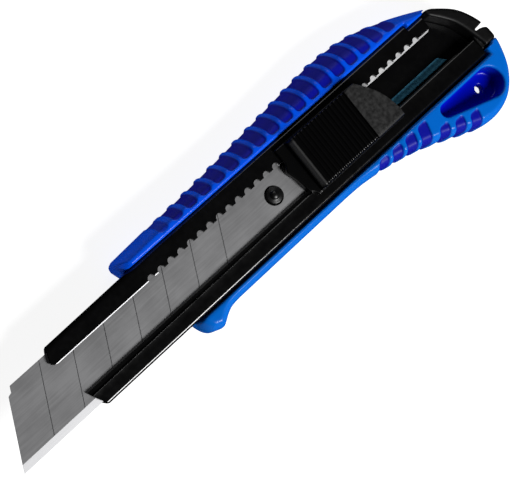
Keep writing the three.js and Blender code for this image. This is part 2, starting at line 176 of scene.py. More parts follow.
def spline(points, per_span=8):
    """A Catmull-Rom curve through the points, ends included."""
    pts = np.asarray(points, float)
    padded = np.vstack([pts[0], pts, pts[-1]])
    out = []
    for i in range(len(pts) - 1):
        p0, p1, p2, p3 = padded[i:i + 4]
        for t in np.arange(per_span) / per_span:
            v0, v1 = (p2 - p0) / 2, (p3 - p1) / 2
            out.append((2 * p1 - 2 * p2 + v0 + v1) * t**3
                       + (-3 * p1 + 3 * p2 - 2 * v0 - v1) * t**2 + v0 * t + p1)
    return [tuple(q) for q in out] + [tuple(pts[-1])]


def rounded_plate(d, z, low, high, side, above, below, power):
    """A plate of outline distance d between two levels. Its edges are rounded over a width
    of side in plan, and over heights of above and below. Power 2 is a quarter ellipse."""
    q = np.clip((d + side) / side, 0, None)
    rise = np.clip((z - high + above) / above, 0, None)
    drop = np.clip((low + below - z) / below, 0, None)
    w = np.maximum(rise, drop)
    tall = np.where(rise > drop, above, below)
    total = q + w
    scale = (side * q + tall * w) / np.maximum(total, 1e-9)
    r = (q**power + w**power) ** (1 / power)
    return np.where(total < 1e-6, -side, (r - 1) * scale)


# ---- meshes ----
def surface_net(field, start, step):
    """Vertices and quads on the zero surface of a sampled field."""
    inside = field < 0
    cells = tuple(n - 1 for n in field.shape)
    total = np.zeros(cells + (3,), np.float32)
    count = np.zeros(cells, np.int8)
    crossings = []
    for axis in range(3):
        low = [slice(None)] * 3
        high = [slice(None)] * 3
        low[axis], high[axis] = slice(None, -1), slice(1, None)
        f0, f1 = field[tuple(low)], field[tuple(high)]
        cross = inside[tuple(low)] != inside[tuple(high)]
        crossings.append((cross, inside[tuple(low)]))
        t = np.where(cross, f0 / np.where(cross, f0 - f1, 1), 0)
        others = [a for a in range(3) if a != axis]
        for corner in ((0, 0), (0, 1), (1, 0), (1, 1)):
            part = [slice(None)] * 3
            for a, c in zip(others, corner):
                part[a] = slice(c, c + cells[a])
            hit = cross[tuple(part)]
            count += hit
            total[..., axis] += np.where(hit, t[tuple(part)], 0)
            for a, c in zip(others, corner):
                total[..., a] += hit * c
    used = count > 0
    index = np.full(cells, -1, np.int64)
    index[used] = np.arange(used.sum())
    verts = np.argwhere(used) + total[used] / count[used][:, None]
    verts = np.asarray(start) + verts * np.asarray(step)
    quads = []
    for axis, (cross, start_inside) in enumerate(crossings):
        b, c = [(1, 2), (2, 0), (0, 1)][axis]
        at = np.argwhere(cross)
        keep = (at[:, b] > 0) & (at[:, c] > 0) & (at[:, b] < cells[b]) & (at[:, c] < cells[c])
        at = at[keep]
        ring = []
        for db, dc in ((-1, -1), (0, -1), (0, 0), (-1, 0)):
            cell = at.copy()
            cell[:, b] += db
            cell[:, c] += dc
            ring.append(index[cell[:, 0], cell[:, 1], cell[:, 2]])
        ring = np.stack(ring, 1)
        out = start_inside[at[:, 0], at[:, 1], at[:, 2]]
        quads.append(np.where(out[:, None], ring, ring[:, ::-1]))
    return verts, np.vstack(quads)


def linked(name, data):
    """A new object in the scene that holds a mesh, a camera or a light."""
    obj = bpy.data.objects.new(name, data)
    bpy.context.scene.collection.objects.link(obj)
    return obj


def moulded(name, field, low, high, step, masks=None):
    """Meshes a field over a box. masks are functions of x, y, z kept as point attributes.
    Most boxes start off the round numbers, so that few samples lie exactly on a flat wall."""
    axes = [np.arange(a - s, b + 2 * s, s) for a, b, s in zip(low, high, step)]
    x, y, z = np.meshgrid(*axes, indexing="ij", sparse=True)
    samples = np.broadcast_to(field(x, y, z), tuple(len(a) for a in axes))
    verts, quads = surface_net(np.ascontiguousarray(samples), [a[0] for a in axes], step)
    placed = verts * MM + np.array(TIP)
    mesh = bpy.data.meshes.new(name)
    mesh.vertices.add(len(placed))
    mesh.vertices.foreach_set("co", placed.astype(np.float32).ravel())
    mesh.loops.add(quads.size)
    mesh.loops.foreach_set("vertex_index", quads.astype(np.int32).ravel())
    mesh.polygons.add(len(quads))
    mesh.polygons.foreach_set("loop_start", np.arange(0, quads.size, 4, dtype=np.int32))
    mesh.polygons.foreach_set("use_smooth", np.ones(len(quads), bool))
    mesh.update(calc_edges=True)
    for label, mask in (masks or {}).items():
        values = mask(verts[:, 0], verts[:, 1], verts[:, 2])
        attribute = mesh.attributes.new(label, "FLOAT", "POINT")
        attribute.data.foreach_set("value", np.asarray(values, np.float32))
    return linked(name, mesh)


def merge_flat(piece, levels):
    """Merges the small level faces that lie well inside flat areas at the given heights."""
    work = bmesh.new()
    work.from_mesh(piece.data)
    heights = [TIP.z + level * MM for level in levels]
    bands = {}
    for face in work.faces:
        if abs(face.normal.z) < 0.99999:
            continue
        middle = face.calc_center_median()
        near = [i for i, height in enumerate(heights) if abs(middle.z - height) < 0.00002]
        if near and all(abs(v.normal.z) > 0.99999 for v in face.verts):
            band = int((middle.x - TIP.x) / (4 * MM))
            bands.setdefault((near[0], band), []).append(face)
    for faces in bands.values():
        bmesh.ops.dissolve_faces(work, faces=faces, use_verts=True)
    work.to_mesh(piece.data)
    work.free()


def built(name, verts, faces, sharp_angle=35, second=()):
    """A mesh object from drawing coordinates. Faces in second take the second material."""
    mesh = bpy.data.meshes.new(name)
    mesh.from_pydata([tuple(TIP + Vector(v) * MM) for v in verts], [], [tuple(f) for f in faces])
    mesh.polygons.foreach_set("use_smooth", np.ones(len(faces), bool))
    for index in second:
        mesh.polygons[index].material_index = 1
    form = bmesh.new()
    form.from_mesh(mesh)
    bmesh.ops.recalc_face_normals(form, faces=form.faces)
    form.to_mesh(mesh)
    form.free()
    mesh.update(calc_edges=True)
    mesh.set_sharp_from_angle(angle=math.radians(sharp_angle))
    return linked(name, mesh)


def ring_faces(first, second, count, closed=True):
    """Quads between two rings of vertices that start at the given indices."""
    sides = count if closed else count - 1
    return [(first + i, first + (i + 1) % count, second + (i + 1) % count, second + i)
            for i in range(sides)]


def lathe(profile, centre, segments=56):
    """Vertices and faces of a turned piece. profile is (radius, z) from top to bottom."""
    verts = []
    for radius, z in profile:
        for angle in np.linspace(0, 2 * math.pi, segments, endpoint=False):
            x = centre[0] + radius * math.cos(angle)
            y = centre[1] + radius * math.sin(angle)
            verts.append((x, y, z))
    faces = [tuple(range(segments))]
    for i in range(len(profile) - 1):
        faces += ring_faces((i + 1) * segments, i * segments, segments)
    last = (len(profile) - 1) * segments
    return verts, faces + [tuple(range(last + segments - 1, last - 1, -1))]


# ---- material helpers ----
def new_material(name):
    material = bpy.data.materials.new(name)
    material.use_nodes = True
    nodes = material.node_tree.nodes
    return material, nodes, material.node_tree.links, nodes["Principled BSDF"]


def noise(nodes, links, scale, detail=4.0, stretch=None):
    """Noise in object space. scale counts features per metre; stretch squeezes it along an axis."""
    place = nodes.new("ShaderNodeTexCoord")
    texture = nodes.new("ShaderNodeTexNoise")
    texture.inputs["Scale"].default_value = scale
    texture.inputs["Detail"].default_value = detail
    if stretch:
        mapping = nodes.new("ShaderNodeMapping")
        mapping.inputs["Scale"].default_value = stretch
        links.new(place.outputs["Object"], mapping.inputs["Vector"])
        links.new(mapping.outputs["Vector"], texture.inputs["Vector"])
    else:
        links.new(place.outputs["Object"], texture.inputs["Vector"])
    return texture.outputs["Fac"]


def spread(nodes, links, value, low, high, out_low, out_high):
    """Maps a value from one range to another, clamped."""
    node = nodes.new("ShaderNodeMapRange")
    node.inputs["From Min"].default_value = low
    node.inputs["From Max"].default_value = high
    node.inputs["To Min"].default_value = out_low
    node.inputs["To Max"].default_value = out_high
    links.new(value, node.inputs["Value"])
    return node.outputs["Result"]


def blend_colours(nodes, links, factor, first, second):
    node = nodes.new("ShaderNodeMix")
    node.data_type = "RGBA"
    for socket, colour in (("A", first), ("B", second)):
        target = [s for s in node.inputs if s.name == socket and s.type == "RGBA"][0]
        if isinstance(colour, tuple):
            target.default_value = (*colour, 1)
        else:
            links.new(colour, target)
    links.new(factor, node.inputs["Factor"])
    return [s for s in node.outputs if s.type == "RGBA"][0]


def bump(nodes, links, height, shader, distance):
    node = nodes.new("ShaderNodeBump")
    node.inputs["Distance"].default_value = distance
    links.new(height, node.inputs["Height"])
    links.new(node.outputs["Normal"], shader.inputs["Normal"])


def attribute(nodes, name):
    node = nodes.new("ShaderNodeAttribute")
    node.attribute_name = name
    return node.outputs["Fac"]


def along_y(nodes, links, low, high):
    """0 below low and 1 above high, across the knife, in drawing millimetres."""
    place = nodes.new("ShaderNodeTexCoord")
    split = nodes.new("ShaderNodeSeparateXYZ")
    links.new(place.outputs["Object"], split.inputs["Vector"])
    return spread(nodes, links, split.outputs["Y"], TIP.y + low * MM, TIP.y + high * MM, 0, 1)


# ---- materials ----
def blue_plastic():
    material, nodes, links, shader = new_material("grip_blue")
    # Painted shade: the blue turns from a lit tint on the lower side to a shaded navy on the upper
    # flank.
    across = along_y(nodes, links, -1, 24)
    face = blend_colours(nodes, links, across, BLUE_LIT_SIDE, BLUE_SHADED_SIDE)
    # Painted shade: the flutes and the teardrop recess are coloured darker navy, as shade falls in
    # them.
    fluted = blend_colours(nodes, links, attribute(nodes, "flute"), face, FLUTE_SHADE_BLUE)
    colour = blend_colours(nodes, links, attribute(nodes, "recess"), fluted, RECESS_SHADE_BLUE)
    links.new(colour, shader.inputs["Base Color"])
    sheen = spread(nodes, links, noise(nodes, links, 1500), 0.3, 0.7, 0.2, 0.28)
    duller = nodes.new("ShaderNodeMath")
    duller.operation = "MULTIPLY_ADD"
    duller.inputs[1].default_value = 0.22
    links.new(attribute(nodes, "flute"), duller.inputs[0])
    links.new(sheen, duller.inputs[2])
    links.new(duller.outputs[0], shader.inputs["Roughness"])
    shader.inputs["Specular IOR Level"].default_value = 0.13
    bump(nodes, links, noise(nodes, links, 2600, 2), shader, 0.00002)
    return material


def rail_paint():
    material, nodes, links, shader = new_material("rail_black")
    tone = spread(nodes, links, noise(nodes, links, 200), 0.3, 0.7, 0, 1)
    colour = blend_colours(nodes, links, tone, DEEP_BLACK, (0.0024, 0.0024, 0.0025))
    links.new(colour, shader.inputs["Base Color"])
    sheen = spread(nodes, links, noise(nodes, links, 700), 0.3, 0.7, 0.16, 0.22)
    links.new(sheen, shader.inputs["Roughness"])
    shader.inputs["Specular IOR Level"].default_value = 0.5
    bump(nodes, links, noise(nodes, links, 1200, 3), shader, 0.000003)
    return material


def metal(name, dark, light, roughness, grain=(1, 1, 1), metallic=0.85):
    """Bare steel with fine grain, stretched along one axis where it is brushed."""
    material, nodes, links, shader = new_material(name)
    fine = noise(nodes, links, 260, 5, grain)
    links.new(blend_colours(nodes, links, spread(nodes, links, fine, 0.3, 0.7, 0, 1), dark, light),
              shader.inputs["Base Color"])
    sheen = spread(nodes, links, fine, 0.3, 0.7, roughness, roughness + 0.08)
    links.new(sheen, shader.inputs["Roughness"])
    shader.inputs["Metallic"].default_value = metallic
    bump(nodes, links, fine, shader, 0.000004)
    return material


def blade_steel():
    """Grey ground face with fine lengthwise grain, and a bevel whose lighter colour is partly its
    finer honing and partly a painted highlight.
    """
    material, nodes, links, shader = new_material("blade_steel")
    grain = noise(nodes, links, 90, 6, (1, 24, 1))
    cloud = noise(nodes, links, 120, 3)
    mixed = nodes.new("ShaderNodeMath")
    mixed.operation = "ADD"
    links.new(grain, mixed.inputs[0])
    links.new(cloud, mixed.inputs[1])
    tone = spread(nodes, links, mixed.outputs[0], 0.75, 1.25, 0, 1)
    face = blend_colours(nodes, links, tone, (0.175, 0.175, 0.178), (0.215, 0.215, 0.219))
    # The lighter bevel is partly finer honing and partly a painted highlight.
    honed_glint = along_y(nodes, links, BEVEL_WIDTH - 0.05, BEVEL_WIDTH + 0.05)
    links.new(blend_colours(nodes, links, honed_glint, (0.5, 0.5, 0.51), face), shader.inputs["Base Color"])
    links.new(spread(nodes, links, tone, 0, 1, 0.42, 0.5), shader.inputs["Roughness"])
    shader.inputs["Metallic"].default_value = 0.35
    bump(nodes, links, grain, shader, 0.000004)
    return material


def black_plastic(name, colour, low, high, grain_size, grain_depth, specular=0.4):
    material, nodes, links, shader = new_material(name)
    tone = spread(nodes, links, noise(nodes, links, 400), 0.3, 0.7, 0, 1)
    lighter = tuple(c * 1.35 for c in colour)
    links.new(blend_colours(nodes, links, tone, colour, lighter), shader.inputs["Base Color"])
    sheen = spread(nodes, links, noise(nodes, links, 900), 0.3, 0.7, low, high)
    links.new(sheen, shader.inputs["Roughness"])
    shader.inputs["Specular IOR Level"].default_value = specular
    bump(nodes, links, noise(nodes, links, grain_size, 3), shader, grain_depth)
    return material


def slider_plastic():
    """Smooth black plastic with a coarse lighter grain on the rear pad, and painted highlights on the
    button's front bevel and along the lower edge of its pad.
    """
    material, nodes, links, shader = new_material("slider_black")
    pad = attribute(nodes, "pad")
    grain = noise(nodes, links, 800, 4)
    speckle = spread(nodes, links, grain, 0.35, 0.65, 0, 1)
    grained = blend_colours(nodes, links, speckle, (0.003, 0.003, 0.003), (0.019, 0.019, 0.019))
    # Painted highlight: the front bevel and the pad's lower edge are coloured lighter where light
    # would catch them.
    painted_highlight = attribute(nodes, "painted_highlight")
    edge = blend_colours(nodes, links, painted_highlight, (0.0011, 0.0011, 0.0012), (0.03, 0.03, 0.03))
    links.new(blend_colours(nodes, links, pad, edge, grained), shader.inputs["Base Color"])
    links.new(spread(nodes, links, pad, 0, 1, 0.27, 0.7), shader.inputs["Roughness"])
    shader.inputs["Specular IOR Level"].default_value = 0.2
    raised = nodes.new("ShaderNodeMath")
    raised.operation = "MULTIPLY"
    links.new(grain, raised.inputs[0])
    links.new(pad, raised.inputs[1])
    bump(nodes, links, raised.outputs[0], shader, 0.00022)
    return material


def blued_steel():
    material, nodes, links, shader = new_material("strip_blued")
    tone = spread(nodes, links, noise(nodes, links, 1300, 3), 0.35, 0.65, 0, 1)
    links.new(blend_colours(nodes, links, tone, (0.02, 0.09, 0.16), (0.045, 0.18, 0.27)),
              shader.inputs["Base Color"])
    shader.inputs["Metallic"].default_value = 0.2
    shader.inputs["Specular IOR Level"].default_value = 0.1
    shader.inputs["Roughness"].default_value = 0.4
    bump(nodes, links, noise(nodes, links, 1800, 2), shader, 0.00004)
    return material


# ---- grip and cap ----
GUARD_EDGE = [(56.3, -1.2), (57.0, -4.0), (58.2, -5.9), (59.9, -6.75), (61.5, -7.2), (62.9, -6.6),
              (64.6, -5.6), (66.8, -4.75), (70, -4.45)]
LOWER_EDGE = [(110, -4.45), (117.3, -4.8), (127.4, -6.4), (137.6, -9), (147.8, -12.9)]
TAIL_EDGE = [(147.8, -12.9), (154, -15.3), (160.5, -15.6), (166.3, -13.5), (171, -8.8), (173.7, -3),
             (174.6, 2.2), (173.6, 8), (170.2, 14.1), (163.7, 19.3)]
UPPER_EDGE = [(163.7, 19.3), (152.8, 24.4), (142.6, 27.9), (130.5, 29.1), (118.3, 28.4), (98, 26.7),
              (77.7, 25.3), (51.3, 24)]
FRONT_EDGE = [(51.3, 24), (50.0, 23.3), (49.7, 21.9)]
CAP_LINE = [(169.6, 0.6), (168.9, 4), (166.6, 11), (161.8, 17.2)]


def whole_outline():
    """Plan outline of grip and end cap together."""
    points = []
    for edge in (GUARD_EDGE, LOWER_EDGE, TAIL_EDGE, UPPER_EDGE, FRONT_EDGE):
        points += spline(edge)[:-1]
    return points + [FRONT_EDGE[-1]]


def cap_zone(offset):
    """Plan outline of the space that belongs to the end cap."""
    line = [(x + offset, y) for x, y in spline(CAP_LINE)]
    top = CAP_TOP_Y - offset
    return line + [(161.3 + offset, top), (BEYOND_TAIL, top), (BEYOND_TAIL, 0.6 + offset)]


def recess_outline():
    """The outline round two circles whose upper sides are level."""
    (ax, ay, ar), (bx, by, br) = RECESS_SMALL, RECESS_LARGE
    lean = math.atan2(by - ay, bx - ax)
    opening = math.acos((ar - br) / math.hypot(bx - ax, by - ay))
    points = []
    for cx, cy, r, first, last in ((ax, ay, ar, lean + opening, lean - opening + 2 * math.pi),
                                   (bx, by, br, lean - opening, lean + opening)):
        for angle in np.linspace(first, last, 24):
            points.append((cx + r * math.cos(angle), cy + r * math.sin(angle)))
    return points


OUTLINE = whole_outline()
RECESS = recess_outline()


def outer_field(x, y, z):
    """The smooth outer form of grip and cap, before flutes and cuts. The ribbed flank is
    rounded from the face almost to the back, the other edges less."""
    d = outline_field(OUTLINE, x, y)
    flank = step_between(8, 12, y) * step_between(166, 140, x)
    side = 2.4 + flank * (0.6 + 2.7 * step_between(60, 112, x))
    above = 4.6 + 4.4 * flank
    lower_strip = step_between(4, 0, y) * step_between(140, 118, x)
    top = GRIP_TOP + (STRIP_TOP - GRIP_TOP) * lower_strip
    return rounded_plate(d, z, GRIP_BOTTOM, top, side, above, 4.0, 2 - 0.35 * flank)


def pocket(across, along, half_width):
    """1 inside a round-cornered pocket, 0 outside. along grows from the pocket's closed end."""
    side = np.abs(across) - half_width + POCKET_CORNER
    end = POCKET_CORNER - along
    outside = np.hypot(np.maximum(side, 0), np.maximum(end, 0))
    d = outside + np.minimum(np.maximum(side, end), 0) - POCKET_CORNER
    return step_between(0.15, -0.3, d)


def upper_flutes(x, y):
    k = np.clip(np.round((x - FLUTE_FIRST) / FLUTE_PITCH), 0, FLUTE_COUNT - 1)
    grown = np.clip((k + 2) / 4, 0.5, 1)
    return grown * pocket(x - FLUTE_FIRST - k * FLUTE_PITCH, y - FLUTE_INNER_Y, 1.35 + 0.5 * grown)


def lower_flute_at(x):
    """Which lower flute is nearest, and where its closed inner end is."""
    k = np.clip(np.round((x - LOW_FLUTE_FIRST) / LOW_FLUTE_PITCH), 0, LOW_FLUTE_COUNT - 1)
    return k, np.where(k < 4, -2.9, -7.2 - (k - 4) * 1.5)


def lower_flutes(x, y):
    """Flutes that lean towards the blade as they run outwards."""
    leaned = x - LOW_FLUTE_LEAN * (y - lower_flute_at(x - LOW_FLUTE_LEAN * (y + 5))[1])
    k, inner = lower_flute_at(leaned)
    across = x - LOW_FLUTE_LEAN * (y - inner) - LOW_FLUTE_FIRST - k * LOW_FLUTE_PITCH
    return pocket(across, inner - y, 1.8)


def recess_field(x, y, z):
    """Teardrop recesses in both faces, with a web between them that sinks towards the tail."""
    d = outline_field(RECESS, x, y)
    floor = -0.6 - 2.2 * step_between(146, 162, x)
    front = smooth_max(d, floor - z, 1.2)
    back = smooth_max(d, z - WEB_BOTTOM, 1.2)
    return np.minimum(front, back)


def grip_field(x, y, z):
    f = outer_field(x, y, z)
    depth = FLUTE_DEPTH * (1 - 0.55 * step_between(134, 152, x))
    f = f + depth * upper_flutes(x, y) + LOW_FLUTE_DEPTH * lower_flutes(x, y)
    top_y = np.where(x < TAB_X, CHANNEL_Y[1], TAB_Y + 0.3)
    channel = np.maximum(np.maximum(CHANNEL_Y[0] - y, y - top_y), CHANNEL_FLOOR - z)
    channel = np.maximum(channel, x - np.where(y > 0.15, CHANNEL_END, RAIL_END + 0.5))
    f = smooth_max(f, -channel, 0.9)
    f = smooth_max(f, -outline_field(cap_zone(-0.3), x, y), 0.4)
    f = smooth_max(f, -recess_field(x, y, z), 0.8)
    hole = np.hypot(x - LANYARD[0], y - LANYARD[1]) - LANYARD[2]
    f = smooth_max(f, -hole, 0.4)
    return np.maximum(f, -box_field(x, y, z, *TONGUE_ROOM))


def flute_mask(x, y, z):
    """How deep a point lies in a flute, from 0 to 1. It sets a painted shade and a duller finish
    there.
    """
    return np.clip(1.4 * np.maximum(upper_flutes(x, y), lower_flutes(x, y)), 0, 1)


def recess_mask(x, y, z):
    """1 inside the teardrop recess, 0 outside. It sets a painted shade there."""
    d = outline_field(RECESS, x, y)
    return step_between(0.4, -0.1, d) * step_between(GRIP_TOP - 0.1, GRIP_TOP - 0.9, z)


def grip():
    masks = {"flute": flute_mask, "recess": recess_mask}
    low, high = (48, -17, -11.2), (176, 30, 3)
    piece = moulded("grip_moulding", grip_field, low, high, (0.3, 0.33, 0.33), masks)
    merge_flat(piece, (GRIP_BOTTOM, CHANNEL_FLOOR))
    piece.data.materials.append(blue_plastic())
    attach(piece, "grip")
    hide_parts("grip_body")


def cap_field(x, y, z):
    f = outer_field(x, y, z)
    f = smooth_max(f, z - (GRIP_TOP - 0.3), 0.6)
    f = smooth_max(f, outline_field(cap_zone(0), x, y), 0.9)
    along = np.clip(x - 170, 0, 6)
    slot = np.maximum(y - 6.0 - 0.06 * along, 5.45 - 0.09 * along**2 - y)
    slot = np.maximum(slot, 169.9 - x)
    f = smooth_max(f, -slot, 0.3)
    f = np.minimum(f, box_field(x, y, z, *CAP_LEDGE))
    tongue = box_field(x, y, z, *TONGUE)
    window = box_field(x, y, z, *TONGUE_WINDOW)
    tongue = smooth_max(np.maximum(tongue, -slot), -window, 0.4)
    return np.minimum(f, tongue)


def end_cap():
    low, high = (147.06, -0.93, -10.93), (176, 20, 3)
    piece = moulded("cap_moulding", cap_field, low, high, (0.25, 0.25, 0.25))
    piece.data.materials.append(black_plastic("cap_black", DEEP_BLACK, 0.4, 0.5, 1500, 0.00003, 0.2))
    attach(piece, "cap")
    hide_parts("end_cap")


# ---- guide rail: one folded sheet, lofted along the knife ----
BEND_LOW = 0.9
BEND_FRONT = 1.3
BEND_HIGH = 0.85
EDGE_BREAK = 0.14
FLOOR_Y = (0.6, 2.2, 4.0, 6.0, 8.0, 10.0, 12.0, 14.2, 16.0, 17.0)
FRONT_Y = [-1.3, 0.5, 3.4, 4.4, 9.0, 14.3, 14.6, 15.2, 16.0, 17.8, 19.1, 19.5]
FRONT_X = [26.2, 25.1, 24.0, 23.6, 23.3, 23.0, 22.3, 21.75, 21.95, 22.8, 23.5, 24.2]
RACK_BREAK = 0.22
FINE_BREAK = 0.05
# Middle stretch of the upper lip's edge that stays black; outside it the bare steel edge is partly
# worn paint and partly a painted highlight.
DARK_EDGE_SPAN = (58, 104)
BEND_CHANGE = (50, 62)
CREASE_X = (24, 60, 112, 112.4, 170)
CREASE_Y = (2.75, 3.0, 3.05, 3.8, 3.8)
BEAD = 0.05
LOWER_LIP_EDGE = 4.25


def rack_edge(x):
    """Inner edge of the upper lip: straight, with rounded notches."""
    k = np.clip(round((x - NOTCH_FIRST) / NOTCH_PITCH), 0, NOTCH_COUNT - 1)
    u = abs(x - NOTCH_FIRST - k * NOTCH_PITCH) / NOTCH_HALF
    return UPPER_LIP_Y + NOTCH_DEPTH * (1 - min(u, 1) ** 2.2) ** 0.6


def lower_crease(x):
    """Where the lower lip starts to roll down towards the blade."""
    return float(np.interp(x, CREASE_X, CREASE_Y))


def off_dark_edge(x):
    """Whether x is outside the middle stretch of the upper lip's edge, which stays black: no bare
    steel and no painted highlight there.
    """
    return x < DARK_EDGE_SPAN[0] or x > DARK_EDGE_SPAN[1]


def rack_break(x):
    """The upper lip's edge is broken widely between notches outside the dark stretch, and
    finely elsewhere."""
    plain = rack_edge(x) < UPPER_LIP_Y + 0.05
    return RACK_BREAK if plain and off_dark_edge(x) else FINE_BREAK


def sheet_section(x):
    """Outer and inner points of the folded sheet at x, from the lower lip round to the rack."""
    low = RAIL_Y[0]
    high = float(np.interp(x, [24, 52], [19.3, 19.75])) if x < TAB_X else TAB_Y
    crease, edge = lower_crease(x), rack_edge(x) + rack_break(x)
    bend = float(np.interp(x, BEND_CHANGE, [BEND_FRONT, BEND_HIGH]))
    under = RAIL_TOP - SHEET
    outer = [(LOWER_LIP_EDGE, 0.5), (LOWER_LIP_EDGE - 0.1, 0.78), (crease + 0.26, 0.86),
             (crease + 0.12, RAIL_TOP), (crease, RAIL_TOP + BEAD), (crease - 0.22, RAIL_TOP),
             (1.2, RAIL_TOP)]
    inner = [(LOWER_LIP_EDGE, 0.2), (LOWER_LIP_EDGE - 0.1, 0.16), (crease + 0.26, 0.2),
             (crease + 0.12, 0.3), (crease, under), (crease - 0.22, under), (1.2, under)]
    bends = (
        (low + BEND_LOW, RAIL_TOP - BEND_LOW, BEND_LOW, 90),
        (low + BEND_LOW, RAIL_BOTTOM + BEND_LOW, BEND_LOW, 180),
        (high - bend, RAIL_BOTTOM + bend, bend, 270),
        (high - bend, RAIL_TOP - bend, bend, 360),
    )
    for cy, cz, r, first in bends:
        for angle in np.radians(np.linspace(first, first + 90, 9)):
            outer.append((cy + r * math.cos(angle), cz + r * math.sin(angle)))
            inner.append((cy + (r - SHEET) * math.cos(angle), cz + (r - SHEET) * math.sin(angle)))
        if first == 180:
            outer += [(y, RAIL_BOTTOM) for y in FLOOR_Y]
            inner += [(y, RAIL_BOTTOM + SHEET) for y in FLOOR_Y]
    for share in (0.9, 0.6, 0.4, 0.2, 0.1, 0.0):
        outer.append((edge + (high - bend - edge) * share, RAIL_TOP))
        inner.append((edge + (high - bend - edge) * share, under))
    outer.append((rack_edge(x), RAIL_TOP - EDGE_BREAK))
    inner.append((rack_edge(x), under))
    return outer, inner


def sheet_end(y, z):
    """Where the sheet ends towards the tail: lips short and rounded, floor along the cap."""
    floor_y, floor_x = zip(*sorted((b, a - 0.2) for a, b in spline(CAP_LINE) + [(161.1, CAP_TOP_Y)]))
    if z < 0:
        return float(np.interp(y, floor_y, floor_x)) if y > 0.6 else RAIL_END
    if y > 9:
        upper_ends = [158.9, 159.7, UPPER_LIP_END, UPPER_LIP_END]
        return float(np.interp(y, [14.3, 14.6, 15.2, 18.4], upper_ends))
    lower_ends = [RAIL_END, RAIL_END, RAIL_END - 0.3, RAIL_END - 1.0]
    return float(np.interp(y, [-1.3, 3.0, 3.8, 4.25], lower_ends))


def rail_stations():
    """Positions along the rail between its shaped ends, dense round each notch."""
    stations = [30.0, 60.0, 111.9, 112.5, TAB_X - 0.01, TAB_X + 0.01, 157.0]
    for k in range(NOTCH_COUNT):
        middle = NOTCH_FIRST + k * NOTCH_PITCH
        for angle in np.radians(np.linspace(-90, 90, 13)):
            stations.append(middle + NOTCH_HALF * 1.001 * math.sin(angle))
    return sorted(stations)


def bare_edge_and_glint(x0, x1):
    """Whether the upper lip's edge shows bright bare steel here: between notches, near both ends.
    It is partly worn paint and partly a painted highlight, laid where the edge catches the light.
    """
    middle = (x0 + x1) / 2
    return off_dark_edge(middle) and rack_edge(middle) < UPPER_LIP_Y + 0.1


def guide_rail():
    rows = []
    stations = rail_stations()

    def add_row(x_of, at, inset=0.0):
        outer, inner = sheet_section(at)
        row = []
        for (y, z), (iy, iz) in zip(outer, inner):
            row.append((x_of(y, z), y + (iy - y) * inset, z + (iz - z) * inset))
        for (y, z), (iy, iz) in zip(outer, inner):
            row.append((x_of(y, z), iy + (y - iy) * inset, iz + (z - iz) * inset))
        rows.append(row)

    def front(y, z):
        return float(np.interp(y, FRONT_Y, FRONT_X))

    add_row(front, 23.0, 0.18)
    add_row(lambda y, z: front(y, z) + EDGE_BREAK, 23.0)
    for station in stations:
        add_row(lambda y, z: station, station)
    add_row(lambda y, z: sheet_end(y, z) - EDGE_BREAK, 157.0)
    add_row(sheet_end, 157.0, 0.18)

    width = len(rows[0])
    half = width // 2
    verts = [v for row in rows for v in row]
    faces = []
    bare_and_glint = []
    for i in range(len(rows) - 1):
        a, b = i * width, (i + 1) * width
        for j in range(half - 1):
            # Bare steel faces: partly worn paint, partly a painted highlight where the edge catches
            # the light.
            if j == half - 2 and bare_edge_and_glint(rows[i][j][0], rows[i + 1][j][0]):
                bare_and_glint.append(len(faces))
            faces.append((a + j, b + j, b + j + 1, a + j + 1))
            faces.append((a + half + j, a + half + j + 1, b + half + j + 1, b + half + j))
        faces.append((a, a + half, b + half, b))
        faces.append((a + half - 1, b + half - 1, b + width - 1, a + width - 1))
    last = (len(rows) - 1) * width
    for j in range(half - 1):
        faces.append((j, j + 1, half + j + 1, half + j))
        faces.append((last + j, last + half + j, last + half + j + 1, last + j + 1))
    piece = built("rail_channel", verts, faces, 14, bare_and_glint)
    piece.data.materials.append(rail_paint())
    piece.data.materials.append(metal("rail_bare_edge_and_glint", (0.3, 0.3, 0.31), (0.4, 0.4, 0.4), 0.42))
    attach(piece, "grip")
    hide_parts("guide_rail")


def rack_backing():
    """The bright lower layer of the upper lip, seen along its edge and through the notches."""
    section = [(14.05, 0.27), (14.1, 0.32), (15.6, 0.38), (15.6, 0.14), (14.12, 0.12), (14.05, 0.17)]
    verts = []
    for x in (100.2, 100.4, 159.0, 159.6):
        shrink = 0.9 if x in (100.2, 159.6) else 1.0
        verts += [(x, 15.6 + (y - 15.6) * shrink, z) for y, z in section]
    count = len(section)
    faces = [tuple(range(count - 1, -1, -1)), tuple(range(3 * count, 4 * count))]
    for i in range(3):
        faces += ring_faces(i * count, (i + 1) * count, count)
    piece = built("rack_backing", verts, faces)
    steel = metal("backing_steel", (0.4, 0.4, 0.41), (0.6, 0.6, 0.6), 0.5, (1, 6, 1), 0.1)
    piece.data.materials.append(steel)
    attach(piece, "grip")


# ---- blade, stud and strip ----
def blade_section(y):
    """Half thickness of the blade at y: ground to an edge over the bevel."""
    return BLADE_THICK / 2 * min(max(y / BEVEL_WIDTH, 0.02), 1)


